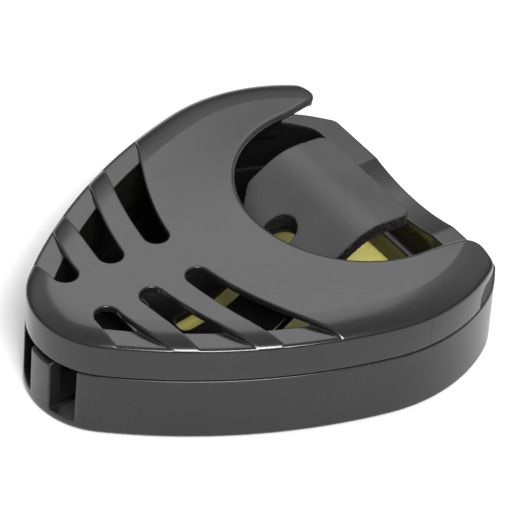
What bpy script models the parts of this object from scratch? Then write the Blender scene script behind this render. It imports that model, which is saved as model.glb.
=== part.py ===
"""Stick-on holder for guitar picks.

Two moulded shells close over a sprung tongue.  The tongue carries a rubber pad that pushes the
picks up against the underside of the cover, and the wide notch at the rear lets a thumb slide the
top pick out.  An adhesive pad with a peel-off liner fixes the holder to an instrument or an amp.

Metres, +Z up.  The narrow tip points along -Y, the notch opens towards +Y, and the origin is at
the centre of the underside.
"""
import math

import bmesh
import bpy
from mathutils import Matrix

MM = 0.001

# Plan outline, in millimetres measured from the tip along the centre line.
LENGTH = 45.2
TIP_RADIUS = 8.4
SIDE_RADIUS = 59.0
CORNER_RADIUS = 17.5
CORNER_CENTRE = (2.1, 32.2)
REAR_CORNER_X = 13.3
REAR_CORNER_Y = 43.2

# Heights, in millimetres above the surface the holder stands on.
LINER_TOP = 0.12
ADHESIVE_BOTTOM = 0.15
ADHESIVE_TOP = 0.50
BASE_BOTTOM = 0.20
RECESS_TOP = 0.58
FLOOR_TOP = 1.50
BASE_TOP = 7.30
COVER_BOTTOM = 7.60
LEDGE_Z = 11.32
CROWN_Z = 12.35
CEILING_Z = 11.38

# Walls.
BASE_WALL = 1.4
REAR_WALL = 2.7
LIP_OUTER_INSET = 1.7
COVER_WALL = 2.5
LIP_BOTTOM = 6.3
LEDGE_WIDTH = 2.65

# Window pair and finger at the tip of the base.
WINDOW_INNER_X = 1.6
WINDOW_OUTER_X = 4.35
WINDOW_SILL = 1.00
FINGER_HALF_WIDTH = 2.4

# Opening in the floor, under the tongue.
FLOOR_OPENING_X = 9.2
FLOOR_OPENING_Y = 16.5

# Thumb dip along the rear wall, and the foot inside that wall.
DIP_RADIUS = 23.0
DIP_DEPTH = 0.9
FOOT_DEPTH = 0.6
FOOT_FRONT_Z = 2.95
FOOT_REAR_Z = 3.15
FOOT_HALF_WIDTH = 11.5

# Sprung tongue: centre line of its side profile as (y, z, bend radius).
TONGUE_PATH = ((12.3, 2.35, 0.0), (19.9, 2.35, 14.0), (34.0, 10.8, 4.5), (38.8, 10.35, 0.0))
TONGUE_HALF_THICKNESS = 0.5
TONGUE_HALF_WIDTH = 7.2
TONGUE_NECK_HALF_WIDTH = 6.0
SLIT_HALF_WIDTH = 1.1
SLIT_END_RADIUS = 0.8
TONGUE_HINGE = (16.0, 2.35)
PEG_X = 4.6
PEG_Y = 14.2
PEG_RADIUS = 1.0
PEG_TOP = 3.7

# Rubber pad on the tongue.
PAD_UNDERSIDE = 0.60
PAD_THICKNESS = 1.40
PAD_HALF_WIDTH = 7.25
PAD_REAR_Y = 39.1
PAD_HOLE_Y = 28.15
PAD_HOLE_RADIUS = 1.7

# Notch between the two horns of the cover.
NOTCH_CENTRE_Y = 37.5
NOTCH_RADIUS = 12.05
HORN_END_Y = 42.4

# Grip slots: centre line through three points, then the half width at the outer end.
SLOT_INNER_HALF_WIDTH = 1.25
SLOT_FLARE = 0.9
SLOT_FLARE_START = 0.80
SLOTS = (
    ((3.6, 5.25), (6.2, 5.45), (9.2, 6.0), 1.75),
    ((3.6, 10.5), (8.6, 11.45), (13.4, 12.8), 1.90),
    ((3.6, 15.85), (10.0, 17.55), (17.0, 20.6), 2.00),
)


# ---------------------------------------------------------------- plane geometry

def arc(centre, radius, start, end, steps):
    """Points along an arc, angles in degrees."""
    points = []
    for i in range(steps + 1):
        angle = math.radians(start + (end - start) * i / steps)
        points.append((centre[0] + radius * math.cos(angle), centre[1] + radius * math.sin(angle)))
    return points


def side_centre():
    """Centre of the long side arc, tangent inside to the tip arc and to the corner arc."""
    to_tip = SIDE_RADIUS - TIP_RADIUS
    to_corner = SIDE_RADIUS - CORNER_RADIUS
    dx = CORNER_CENTRE[0]
    dy = CORNER_CENTRE[1] - TIP_RADIUS
    span = math.hypot(dx, dy)
    along = (to_tip ** 2 - to_corner ** 2 + span ** 2) / (2 * span)
    across = math.sqrt(to_tip ** 2 - along ** 2)
    return (along * dx / span - across * dy / span,
            TIP_RADIUS + along * dy / span + across * dx / span)


def half_plan(inset, steps=(12, 12, 18)):
    """Right half of the outline, from the tip round to the rear, moved inwards by inset."""
    side = side_centre()
    tip_angle = math.degrees(math.atan2(TIP_RADIUS - side[1], -side[0]))
    corner_angle = math.degrees(math.atan2(CORNER_CENTRE[1] - side[1], CORNER_CENTRE[0] - side[0]))
    points = arc((0, TIP_RADIUS), TIP_RADIUS - inset, -90, tip_angle, steps[0])
    points += arc(side, SIDE_RADIUS - inset, tip_angle, corner_angle, steps[1])[1:]
    points += arc(CORNER_CENTRE, CORNER_RADIUS - inset, corner_angle, 80, steps[2])[1:]
    return points


def full_plan(inset):
    """Closed outline, anticlockwise from the tip."""
    right = half_plan(inset)
    left = [(-x, y) for x, y in reversed(right[1:])]
    return right + left


def clip(points, normal, limit):
    """Keep the part of a polygon where normal . point <= limit."""
    kept = []
    for i, here in enumerate(points):
        after = points[(i + 1) % len(points)]
        a = normal[0] * here[0] + normal[1] * here[1] - limit
        b = normal[0] * after[0] + normal[1] * after[1] - limit
        if a <= 0:
            kept.append(here)
        if a * b < 0:
            t = a / (a - b)
            kept.append((here[0] + t * (after[0] - here[0]), here[1] + t * (after[1] - here[1])))
    return kept


def base_plan(inset, rear_inset):
    """Outline of the base: the plan cut square at the rear, with its two corners taken off."""
    corner_x = CORNER_CENTRE[0] + math.sqrt(
        CORNER_RADIUS ** 2 - (REAR_CORNER_Y - CORNER_CENTRE[1]) ** 2)
    run = corner_x - REAR_CORNER_X
    rise = LENGTH - REAR_CORNER_Y
    length = math.hypot(run, rise)
    normal = (rise / length, run / length)
    limit = normal[0] * corner_x + normal[1] * REAR_CORNER_Y
    points = clip(full_plan(inset), (0, 1), LENGTH - rear_inset)
    corner_inset = (inset + rear_inset) / 2
    for side in (1, -1):
        points = clip(points, (side * normal[0], normal[1]), limit - corner_inset)
    return points


def rounded(corners, steps=6):
    """Closed polygon from (x, y, radius) corners."""
    points = []
    count = len(corners)
    for i, (x, y, radius) in enumerate(corners):
        before = corners[i - 1]
        after = corners[(i + 1) % count]
        points += bend((before[0], before[1]), (x, y), (after[0], after[1]), radius, steps)
    return points


def bend(before, corner, after, radius, steps):
    """Points that round one corner of a line."""
    if radius == 0:
        return [corner]
    a = math.atan2(before[1] - corner[1], before[0] - corner[0])
    b = math.atan2(after[1] - corner[1], after[0] - corner[0])
    turn = (b - a + math.pi) % (2 * math.pi) - math.pi
    half = abs(turn) / 2
    middle = a + turn / 2
    reach = radius / math.sin(half)
    centre = (corner[0] + reach * math.cos(middle), corner[1] + reach * math.sin(middle))
    sweep = math.pi - 2 * half
    side = 1 if turn < 0 else -1
    start = middle + math.pi - side * sweep / 2
    points = []
    for i in range(steps + 1):
        angle = start + side * sweep * i / steps
        points.append((centre[0] + radius * math.cos(angle), centre[1] + radius * math.sin(angle)))
    return points


def mirrored(right):
    """Close a right-hand run of corners, which goes front to rear, with its mirror image."""
    return right + [(-corner[0],) + tuple(corner[1:]) for corner in reversed(right)]


# ---------------------------------------------------------------- Blender helpers

def material(name, colour, roughness):
    shade = bpy.data.materials.new(name)
    shade.use_nodes = True
    shader = shade.node_tree.nodes["Principled BSDF"]
    shader.inputs["Base Color"].default_value = (*colour, 1.0)
    shader.inputs["Roughness"].default_value = roughness
    shader.inputs["Metallic"].default_value = 0.0
    return shade


def collection(name):
    group = bpy.data.collections.new(name)
    bpy.context.scene.collection.children.link(group)
    return group


def tidy_mesh(mesh):
    """Weld the mesh, merge its coplanar faces and point them outwards."""
    bm = bmesh.new()
    bm.from_mesh(mesh)
    bmesh.ops.remove_doubles(bm, verts=bm.verts, dist=0.0005 * MM)
    bmesh.ops.dissolve_limit(bm, angle_limit=math.radians(0.2), verts=bm.verts, edges=bm.edges)
    bmesh.ops.recalc_face_normals(bm, faces=bm.faces)
    bm.to_mesh(mesh)
    bm.free()


def outline_solid(name, points, thickness, matrix, group):
    """Flat outline with a thickness, made as a filled 2D curve and turned into a mesh."""
    curve = bpy.data.curves.new(name, "CURVE")
    curve.dimensions = "2D"
    curve.fill_mode = "BOTH"
    curve.extrude = thickness / 2 * MM
    spline = curve.splines.new("POLY")
    spline.points.add(len(points) - 1)
    for point, (u, v) in zip(spline.points, points):
        point.co = (u * MM, v * MM, 0.0, 1.0)
    spline.use_cyclic_u = True
    guide = bpy.data.objects.new(name + "_outline", curve)
    guide.matrix_world = matrix
    bpy.context.scene.collection.objects.link(guide)
    bpy.context.view_layer.update()
    evaluated = guide.evaluated_get(bpy.context.evaluated_depsgraph_get())
    mesh = bpy.data.meshes.new_from_object(evaluated)
    tidy_mesh(mesh)
    solid = bpy.data.objects.new(name, mesh)
    solid.matrix_world = guide.matrix_world
    group.objects.link(solid)
    bpy.data.objects.remove(guide)
    return solid


def plate(name, points, low, high, group):
    """Upright prism on a plan outline, between two heights."""
    middle = Matrix.Translation((0, -LENGTH / 2 * MM, (low + high) / 2 * MM))
    return outline_solid(name, points, high - low, middle, group)


def side_plate(name, points, left, right, group):
    """Prism on a side-view outline of (y, z) points, between two x positions."""
    turn = Matrix(((0, 0, 1, (left + right) / 2 * MM),
                   (1, 0, 0, -LENGTH / 2 * MM),
                   (0, 1, 0, 0),
                   (0, 0, 0, 1)))
    return outline_solid(name, points, right - left, turn, group)


def hide(cutter):
    cutter.hide_render = True
    cutter.display_type = "WIRE"
    return cutter


def boolean(target, tool, operation="DIFFERENCE"):
    step = target.modifiers.new(tool.name, "BOOLEAN")
    step.operation = operation
    step.solver = "EXACT"
    step.object = tool


def bevel(target, width, segments, angle=30):
    step = target.modifiers.new("edge_radius", "BEVEL")
    step.width = width * MM
    step.segments = segments
    step.limit_method = "ANGLE"
    step.angle_limit = math.radians(angle)
    step.use_clamp_overlap = True


def finish(piece, shade, sharp=32):
    piece.data.materials.append(shade)
    piece.data.shade_smooth()
    piece.data.set_sharp_from_angle(angle=math.radians(sharp))


# ---------------------------------------------------------------- base

def tongue_pegs(group):
    pegs = []
    for side in (1, -1):
        points = arc((side * PEG_X, PEG_Y), PEG_RADIUS, 0, 330, 11)
        pegs.append(hide(plate(f"peg_{side}", points, FLOOR_TOP - 0.5, PEG_TOP, group)))
    return pegs


def make_base(parts, tools, shade):
    base = plate("base_shell", base_plan(0, 0), BASE_BOTTOM, BASE_TOP, parts)
    bevel(base, 0.22, 2)

    cavity = plate("base_cavity", base_plan(BASE_WALL, REAR_WALL), FLOOR_TOP, BASE_TOP + 2, tools)
    boolean(base, hide(cavity))
    recess = plate("adhesive_recess", base_plan(1.2, 1.2), BASE_BOTTOM - 1, RECESS_TOP, tools)
    boolean(base, hide(recess))

    opening = rounded(mirrored([
        (FLOOR_OPENING_X, FLOOR_OPENING_Y, 0.4),
        (FLOOR_OPENING_X, LENGTH - REAR_WALL - FOOT_DEPTH, 0.4)]))
    boolean(base, hide(plate("floor_opening", opening, RECESS_TOP - 0.5, FLOOR_TOP + 1, tools)))

    for side in (1, -1):
        left, right = sorted((side * WINDOW_INNER_X, side * WINDOW_OUTER_X))
        window = [(-1, WINDOW_SILL), (5, WINDOW_SILL), (5, BASE_TOP + 1), (-1, BASE_TOP + 1)]
        boolean(base, hide(side_plate(f"tip_window_{side}", window, left, right, tools)))
    finger_slope = [(-1, BASE_TOP - 1.15), (1.6, BASE_TOP - 0.25), (3, BASE_TOP + 1),
                    (-1, BASE_TOP + 1)]
    boolean(base, hide(side_plate("finger_slope", finger_slope,
                                  -FINGER_HALF_WIDTH, FINGER_HALF_WIDTH, tools)))

    # Shallow dip along the top of the rear wall, where the thumb comes in.
    dip = arc((0, DIP_RADIUS + BASE_TOP - DIP_DEPTH), DIP_RADIUS, 250, 290, 28)
    upright = Matrix(((1, 0, 0, 0),
                      (0, 0, 1, (LENGTH / 2 - 1.5) * MM),
                      (0, 1, 0, 0),
                      (0, 0, 0, 1)))
    boolean(base, hide(outline_solid("thumb_dip", dip, 8.0, upright, tools)))

    # Thicker foot along the inside of the rear wall, with a sloped top.
    rear = LENGTH - REAR_WALL
    foot = [(rear - FOOT_DEPTH, RECESS_TOP + 0.1), (rear + 0.5, RECESS_TOP + 0.1),
            (rear + 0.5, FOOT_REAR_Z), (rear, FOOT_REAR_Z), (rear - FOOT_DEPTH, FOOT_FRONT_Z)]
    boolean(base, hide(side_plate("rear_foot", foot, -FOOT_HALF_WIDTH, FOOT_HALF_WIDTH, tools)),
            "UNION")
    for peg in tongue_pegs(tools):
        boolean(base, peg, "UNION")
    finish(base, shade)


# ---------------------------------------------------------------- cover

def crown_height(share):
    """Height of the crown; share is 0 at the shoulder and 1 at the middle."""
    return CROWN_Z - 0.22 * (1 - share) ** 2


def cover_rings():
    """Closed section of the cover as rings of (plan inset, plan scale, height)."""
    shoulder = ((0.00, 10.95), (0.05, 11.10), (0.14, 11.22), (0.30, 11.36), (0.60, 11.56),
                (1.05, 11.76), (1.65, 11.93), (2.40, 12.05), (3.40, 12.13))
    rings = [(0.00, 1.0, COVER_BOTTOM)]
    rings += [(inset, 1.0, z) for inset, z in shoulder]
    for scale in (0.82, 0.62, 0.42, 0.22):
        rings.append((3.40, scale, crown_height(1 - scale)))
    crown = len(rings)
    for scale in (0.3, 0.65, 1.0):
        rings.append((3.40, scale, CEILING_Z))
    rings += [(2.80, 1.0, CEILING_Z - 0.15), (COVER_WALL, 1.0, CEILING_Z - 0.5),
              (COVER_WALL, 1.0, LIP_BOTTOM), (LIP_OUTER_INSET, 1.0, LIP_BOTTOM),
              (LIP_OUTER_INSET, 1.0, COVER_BOTTOM)]
    return rings, crown


def make_cover_blank(name, group):
    """Dish that lofts the plan outline from the parting line over the shoulder to the crown."""
    centre_y = 26.0
    rings, crown = cover_rings()
    bm = bmesh.new()
    loops = []
    for inset, scale, z in rings:
        loop = []
        for x, plan_y in full_plan(inset):
            y = centre_y + (plan_y - centre_y) * scale
            loop.append(bm.verts.new((x * scale * MM, (y - LENGTH / 2) * MM, z * MM)))
        loops.append(loop)
    count = len(loops[0])
    for k, loop in enumerate(loops):
        following = loops[(k + 1) % len(loops)]
        if k == crown - 1:
            for end in (loop, following):
                bm.faces.new(end)
            continue
        for i in range(count):
            j = (i + 1) % count
            bm.faces.new((loop[i], loop[j], following[j], following[i]))
    bmesh.ops.triangulate(bm, faces=bm.faces)
    bmesh.ops.recalc_face_normals(bm, faces=bm.faces)
    mesh = bpy.data.meshes.new(name)
    bm.to_mesh(mesh)
    bm.free()
    blank = bpy.data.objects.new(name, mesh)
    group.objects.link(blank)
    return blank


def slot_outline(slot, side, steps=12):
    """Grip slot: round at its inner end, its front wall flaring where it runs out."""
    inner, middle, outer, outer_half = slot
    front = []
    rear = []
    for i in range(steps + 1):
        t = i / steps
        blend = ((1 - t) * (1 - 2 * t), 4 * t * (1 - t), t * (2 * t - 1))
        slope = (4 * t - 3, 4 - 8 * t, 4 * t - 1)
        x = sum(w * p[0] for w, p in zip(blend, (inner, middle, outer)))
        y = sum(w * p[1] for w, p in zip(blend, (inner, middle, outer)))
        dx = sum(w * p[0] for w, p in zip(slope, (inner, middle, outer)))
        dy = sum(w * p[1] for w, p in zip(slope, (inner, middle, outer)))
        size = math.hypot(dx, dy)
        half = SLOT_INNER_HALF_WIDTH + (outer_half - SLOT_INNER_HALF_WIDTH) * t ** 1.5
        flared = half + SLOT_FLARE * max(0.0, t - SLOT_FLARE_START) / (1 - SLOT_FLARE_START)
        front.append((x + flared * dy / size, y - flared * dx / size))
        rear.append((x - half * dy / size, y + half * dx / size))
    heading = math.degrees(math.atan2(front[0][1] - rear[0][1], front[0][0] - rear[0][0]))
    nose = arc(inner, SLOT_INNER_HALF_WIDTH, heading + 360, heading + 180, 10)
    points = front[::-1] + nose[1:-1] + rear
    reach = (6.0, 2.0)
    points += [(rear[-1][0] + reach[0], rear[-1][1] + reach[1]),
               (front[-1][0] + reach[0], front[-1][1] + reach[1])]
    return [(side * x, y) for x, y in points]


def notch_outline():
    """Thumb notch: a round front that runs out between the rounded ends of the horns."""
    right = [(x, y, 0.0) for x, y in arc((0, NOTCH_CENTRE_Y), NOTCH_RADIUS, -86, 0, 22)]
    right += [(12.6, HORN_END_Y, 2.0), (17.3, HORN_END_Y, 2.2), (18.9, 38.6, 0.0),
              (30.0, 38.6, 0.0), (30.0, 60.0, 0.0)]
    return rounded(mirrored(right))


def make_cover(parts, tools, shade):
    cover = make_cover_blank("top_cover", parts)
    # The slots go right through inside the wall and leave a flat ledge on top of it.
    ledge = hide(plate("slot_ledge", full_plan(-8), LIP_BOTTOM - 3, LEDGE_Z, tools))
    field = hide(plate("slot_field", full_plan(LEDGE_WIDTH), LIP_BOTTOM - 4, CROWN_Z + 3, tools))
    boolean(ledge, field)
    for number, slot in enumerate(SLOTS, 1):
        for side, hand in ((1, "r"), (-1, "l")):
            cutter = plate(f"slot_{number}{hand}", slot_outline(slot, side),
                           LIP_BOTTOM - 1, CROWN_Z + 2, tools)
            boolean(cutter, ledge)
            boolean(cover, hide(cutter))
    boolean(cover, hide(plate("thumb_notch", notch_outline(), LIP_BOTTOM - 1, CROWN_Z + 2.5, tools)))

    # The skirt stops short of the horn ends and leaves a small window above the base.
    window = [(39.5, LIP_BOTTOM - 1), (39.6, COVER_BOTTOM), (39.75, 9.3), (40.3, 9.85),
              (43.5, 10.75), (43.5, LIP_BOTTOM - 1)]
    for side in (1, -1):
        left, right = sorted((side * 12.0, side * 22.0))
        boolean(cover, hide(side_plate(f"horn_window_{side}", window, left, right, tools)))
    finish(cover, shade)


# ---------------------------------------------------------------- tongue and pad

def tongue_line(steps=8):
    """Centre line of the tongue in side view, from its foot to its free end."""
    path = [TONGUE_PATH[0][:2]]
    for i in range(1, len(TONGUE_PATH) - 1):
        path += bend(TONGUE_PATH[i - 1][:2], TONGUE_PATH[i][:2], TONGUE_PATH[i + 1][:2],
                     TONGUE_PATH[i][2], steps)
    return path + [TONGUE_PATH[-1][:2]]


def shifted(path, distance):
    """The line moved sideways, upwards for a positive distance."""
    points = []
    for i, (y, z) in enumerate(path):
        before = path[max(i - 1, 0)]
        after = path[min(i + 1, len(path) - 1)]
        dy = after[0] - before[0]
        dz = after[1] - before[1]
        size = math.hypot(dy, dz)
        points.append((y - distance * dz / size, z + distance * dy / size))
    return points


def make_tongue(parts, tools):
    line = tongue_line()
    section = shifted(line, TONGUE_HALF_THICKNESS) + shifted(line, -TONGUE_HALF_THICKNESS)[::-1]
    tongue = side_plate("spring_tongue", section, -TONGUE_HALF_WIDTH, TONGUE_HALF_WIDTH, parts)

    plan = rounded(mirrored([
        (TONGUE_HALF_WIDTH - 0.05, 11.5, 0.0), (TONGUE_HALF_WIDTH - 0.05, 29.6, 0.8),
        (TONGUE_NECK_HALF_WIDTH, 31.2, 0.8), (TONGUE_NECK_HALF_WIDTH, 38.2, 1.6)]), 4)
    boolean(tongue, hide(plate("tongue_plan", plan, 0, 16, tools)), "INTERSECT")
    slit = rounded(mirrored([
        (SLIT_HALF_WIDTH, 16.4, SLIT_END_RADIUS), (SLIT_HALF_WIDTH, 24.3, SLIT_END_RADIUS)]), 4)
    boolean(tongue, hide(plate("tongue_slit", slit, 0, 16, tools)))
    clearance = arc((0, PAD_HOLE_Y), PAD_HOLE_RADIUS + 0.5, 0, 345, 23)
    boolean(tongue, hide(plate("tongue_hole", clearance, 0, 16, tools)))
    for side in (1, -1):
        points = arc((side * PEG_X, PEG_Y), PEG_RADIUS + 0.4, 0, 345, 23)
        boolean(tongue, hide(plate(f"peg_hole_{side}", points, 0, 16, tools)))
    return tongue


def make_pad(parts, tools):
    line = tongue_line()
    top = PAD_UNDERSIDE + PAD_THICKNESS
    section = shifted(line, top) + shifted(line, PAD_UNDERSIDE)[::-1]
    pad = side_plate("grip_pad", section, -PAD_HALF_WIDTH - 0.5, PAD_HALF_WIDTH + 0.5, parts)
    plan = rounded(mirrored([
        (2.5, 24.9, 1.6), (PAD_HALF_WIDTH, 29.4, 1.6), (PAD_HALF_WIDTH, PAD_REAR_Y, 1.3)]), 5)
    boolean(pad, hide(plate("pad_plan", plan, 0, 16, tools)), "INTERSECT")
    hole = arc((0, PAD_HOLE_Y), PAD_HOLE_RADIUS, 0, 345, 23)
    boolean(pad, hide(plate("pad_hole", hole, 0, 16, tools)))
    return pad


def hang_on_hinge(pieces, group):
    """Parent the moving pieces to an empty on the line the tongue bends about."""
    hinge = bpy.data.objects.new("tongue_hinge", None)
    hinge.empty_display_size = 5 * MM
    hinge.location = (0, (TONGUE_HINGE[0] - LENGTH / 2) * MM, TONGUE_HINGE[1] * MM)
    group.objects.link(hinge)
    bpy.context.view_layer.update()
    for piece in pieces:
        piece.parent = hinge
        piece.matrix_parent_inverse = hinge.matrix_world.inverted()


# ---------------------------------------------------------------- adhesive and liner

def make_adhesive(parts, tools, shade):
    adhesive = plate("adhesive_pad", base_plan(1.5, 1.5), ADHESIVE_BOTTOM, ADHESIVE_TOP, parts)
    opening = rounded(mirrored([
        (FLOOR_OPENING_X + 0.4, FLOOR_OPENING_Y - 0.4, 1.5),
        (FLOOR_OPENING_X + 0.4, LENGTH - REAR_WALL - 0.2, 0.8)]))
    boolean(adhesive, hide(plate("adhesive_opening", opening, -1, 2, tools)))
    finish(adhesive, shade)


def make_liner(parts, shade):
    liner = plate("release_liner", base_plan(0.8, 0.8), 0, LINER_TOP, parts)
    finish(liner, shade)


def main():
    for old in list(bpy.data.objects):
        bpy.data.objects.remove(old)
    parts = collection("guitar_pick_holder")
    tools = collection("cutters")
    make_base(parts, tools, material("base_plastic", (0.010, 0.010, 0.0105), 0.22))
    make_cover(parts, tools, material("cover_plastic", (0.012, 0.012, 0.0125), 0.20))
    tongue = make_tongue(parts, tools)
    pad = make_pad(parts, tools)
    finish(tongue, material("tongue_plastic", (0.009, 0.009, 0.0095), 0.20))
    finish(pad, material("pad_rubber", (0.045, 0.046, 0.048), 0.62))
    hang_on_hinge((tongue, pad), parts)
    make_adhesive(parts, tools, material("adhesive_foam", (0.015, 0.015, 0.015), 0.85))
    make_liner(parts, material("liner_paper", (0.72, 0.66, 0.18), 0.45))


main()
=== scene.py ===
"""Looks of the stick-on guitar pick holder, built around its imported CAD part.

Each moulding is described as a distance field from the same driving dimensions as the CAD part,
so that every edge gets the small radius a real moulding has, and is then meshed.  Fields work in
millimetres: x across, y measured from the tip along the centre line, z up from the underside.
"""
import math

import bpy
import numpy as np
from mathutils import Matrix, Vector


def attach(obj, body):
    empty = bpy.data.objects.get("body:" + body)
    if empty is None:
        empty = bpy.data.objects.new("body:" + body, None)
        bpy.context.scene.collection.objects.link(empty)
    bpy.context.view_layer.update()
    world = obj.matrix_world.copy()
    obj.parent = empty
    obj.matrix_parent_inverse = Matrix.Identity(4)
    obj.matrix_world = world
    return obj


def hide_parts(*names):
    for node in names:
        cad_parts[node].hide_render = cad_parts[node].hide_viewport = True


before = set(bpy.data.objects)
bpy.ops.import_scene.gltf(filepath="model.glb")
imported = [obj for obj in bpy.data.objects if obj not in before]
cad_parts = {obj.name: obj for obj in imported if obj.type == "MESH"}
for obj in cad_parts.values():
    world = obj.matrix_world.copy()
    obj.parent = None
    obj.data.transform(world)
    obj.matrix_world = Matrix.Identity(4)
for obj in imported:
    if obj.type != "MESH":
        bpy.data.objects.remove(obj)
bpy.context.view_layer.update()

MM = 0.001
STEP = 0.1

# Driving dimensions, as in the CAD part.
LENGTH = 45.2
TIP_RADIUS = 8.4
SIDE_RADIUS = 59.0
CORNER_RADIUS = 17.5
CORNER_CENTRE = (2.1, 32.2)
REAR_CORNER_X = 13.3
REAR_CORNER_Y = 43.2

ADHESIVE_BOTTOM = 0.15
ADHESIVE_TOP = 0.50
BASE_BOTTOM = 0.20
RECESS_TOP = 0.58
FLOOR_TOP = 1.50
BASE_TOP = 7.30
COVER_BOTTOM = 7.60
LEDGE_Z = 11.32
CROWN_Z = 12.35
CEILING_Z = 11.38
BASE_WALL = 1.4
REAR_WALL = 2.7
LIP_OUTER_INSET = 1.7
COVER_WALL = 2.5
LIP_BOTTOM = 6.3
LEDGE_WIDTH = 2.65
WINDOW_INNER_X = 1.6
WINDOW_OUTER_X = 4.35
WINDOW_SILL = 1.00
WINDOW_DRAFT = 0.012
FINGER_HALF_WIDTH = 2.0
FINGER_DROP = 1.15
FINGER_RISE = 0.9 / 2.6
FLOOR_OPENING_X = 9.2
FLOOR_OPENING_Y = 16.5
DIP_RADIUS = 23.0
DIP_DEPTH = 0.9
FOOT_DEPTH = 0.6
FOOT_FRONT_Z = 2.95
FOOT_SLOPE = 0.33
FOOT_HALF_WIDTH = 11.5

TONGUE_PATH = ((12.3, 2.35, 0.0), (19.9, 2.35, 14.0), (34.0, 10.8, 4.5), (38.8, 10.35, 0.0))
TONGUE_HALF_THICKNESS = 0.5
TONGUE_HALF_WIDTH = 7.2
TONGUE_NECK_HALF_WIDTH = 6.0
SLIT_HALF_WIDTH = 1.1
SLIT_END_RADIUS = 0.8
PEG_X = 4.6
PEG_Y = 14.2
PEG_RADIUS = 1.0
PEG_TOP = 3.7
PAD_UNDERSIDE = 0.60
PAD_THICKNESS = 1.40
PAD_HALF_WIDTH = 7.25
PAD_REAR_Y = 39.1
PAD_HOLE_Y = 28.15
PAD_HOLE_RADIUS = 1.7

NOTCH_CENTRE_Y = 37.5
NOTCH_RADIUS = 12.05
HORN_END_Y = 42.4
SLOT_INNER_HALF_WIDTH = 1.25
SLOT_FLARE = 0.9
SLOT_FLARE_START = 0.80
SLOTS = (
    ((3.6, 5.25), (6.2, 5.45), (9.2, 6.0), 1.75),
    ((3.6, 10.5), (8.6, 11.45), (13.4, 12.8), 1.90),
    ((3.6, 15.85), (10.0, 17.55), (17.0, 20.6), 2.00),
)
# The shells meet more closely than the CAD part's working gap.
PARTING_TAKE = 0.07
SHOULDER = ((0.00, 10.95), (0.05, 11.10), (0.14, 11.22), (0.30, 11.36), (0.60, 11.56),
            (1.05, 11.76), (1.65, 11.93), (2.40, 12.05), (3.40, 12.13))
CROWN_INSET = SHOULDER[-1][0]
CROWN_START_Z = SHOULDER[-1][1]
CROWN_CENTRE_Y = 26.0
HORN_WINDOW = ((39.5, LIP_BOTTOM - 1), (43.5, LIP_BOTTOM - 1), (43.5, 10.75), (40.3, 9.85),
               (39.75, 9.3), (39.6, COVER_BOTTOM))
HORN_WINDOW_X = 12

# Edge radii of the mouldings.
RIM_RADIUS = 0.16
SLOT_EDGE_RADIUS = 0.16
NOTCH_EDGE_RADIUS = 0.45
HORN_TIP_EXTRA_RADIUS = 0.15
STRIP_EDGE_RADIUS = 0.12

# How far below the surface the wear on an edge is judged.
WEAR_DEPTH = 0.30
WEAR_GAIN = 1.6

# Most triangles left in each piece.
SHELL_TRIANGLES = 190000
STRIP_TRIANGLES = 90000
PAD_TRIANGLES = 150000
TAPE_TRIANGLES = 90000

# Grid of the thin tape, and multipliers that give the small pieces a finer one.
TAPE_STEP = 0.09
STRIP_GRID = 0.9
PAD_GRID = 0.75

NOISE_PRIMES = (73856093, 19349663, 83492791)


# ---------------------------------------------------------------- plane geometry

def arc(centre, radius, start, end, steps):
    """Points along an arc, angles in degrees."""
    angles = np.radians(np.linspace(start, end, steps + 1))
    return [(centre[0] + radius * math.cos(a), centre[1] + radius * math.sin(a)) for a in angles]


def bend(before, corner, after, radius, steps):
    """Points that round one corner of a line."""
    if radius == 0:
        return [corner]
    a = math.atan2(before[1] - corner[1], before[0] - corner[0])
    b = math.atan2(after[1] - corner[1], after[0] - corner[0])
    turn = (b - a + math.pi) % (2 * math.pi) - math.pi
    half = abs(turn) / 2
    middle = a + turn / 2
    reach = radius / math.sin(half)
    centre = (corner[0] + reach * math.cos(middle), corner[1] + reach * math.sin(middle))
    sweep = math.pi - 2 * half
    side = 1 if turn < 0 else -1
    start = middle + math.pi - side * sweep / 2
    return arc(centre, radius, math.degrees(start), math.degrees(start + side * sweep), steps)


def rounded(corners, steps=10):
    """Closed polygon from (x, y, radius) corners."""
    points = []
    for i, (x, y, radius) in enumerate(corners):
        before = corners[i - 1]
        after = corners[(i + 1) % len(corners)]
        points += bend(before[:2], (x, y), after[:2], radius, steps)
    return points


def mirrored(right):
    """Close a right-hand run of corners, which goes front to rear, with its mirror image."""
    return right + [(-corner[0],) + tuple(corner[1:]) for corner in reversed(right)]


def softened(points, rounds=3):
    """Open line with its corners cut again and again, which ends as a smooth curve."""
    for _ in range(rounds):
        following = [points[0]]
        for a, b in zip(points[:-1], points[1:]):
            following.append((0.75 * a[0] + 0.25 * b[0], 0.75 * a[1] + 0.25 * b[1]))
            following.append((0.25 * a[0] + 0.75 * b[0], 0.25 * a[1] + 0.75 * b[1]))
        points = following + [points[-1]]
    return points


def side_centre():
    """Centre of the long side arc, tangent inside to the tip arc and to the corner arc."""
    to_tip = SIDE_RADIUS - TIP_RADIUS
    to_corner = SIDE_RADIUS - CORNER_RADIUS
    dx = CORNER_CENTRE[0]
    dy = CORNER_CENTRE[1] - TIP_RADIUS
    span = math.hypot(dx, dy)
    along = (to_tip ** 2 - to_corner ** 2 + span ** 2) / (2 * span)
    across = math.sqrt(to_tip ** 2 - along ** 2)
    return (along * dx / span - across * dy / span,
            TIP_RADIUS + along * dy / span + across * dx / span)


SIDE_CENTRE = side_centre()


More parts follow.
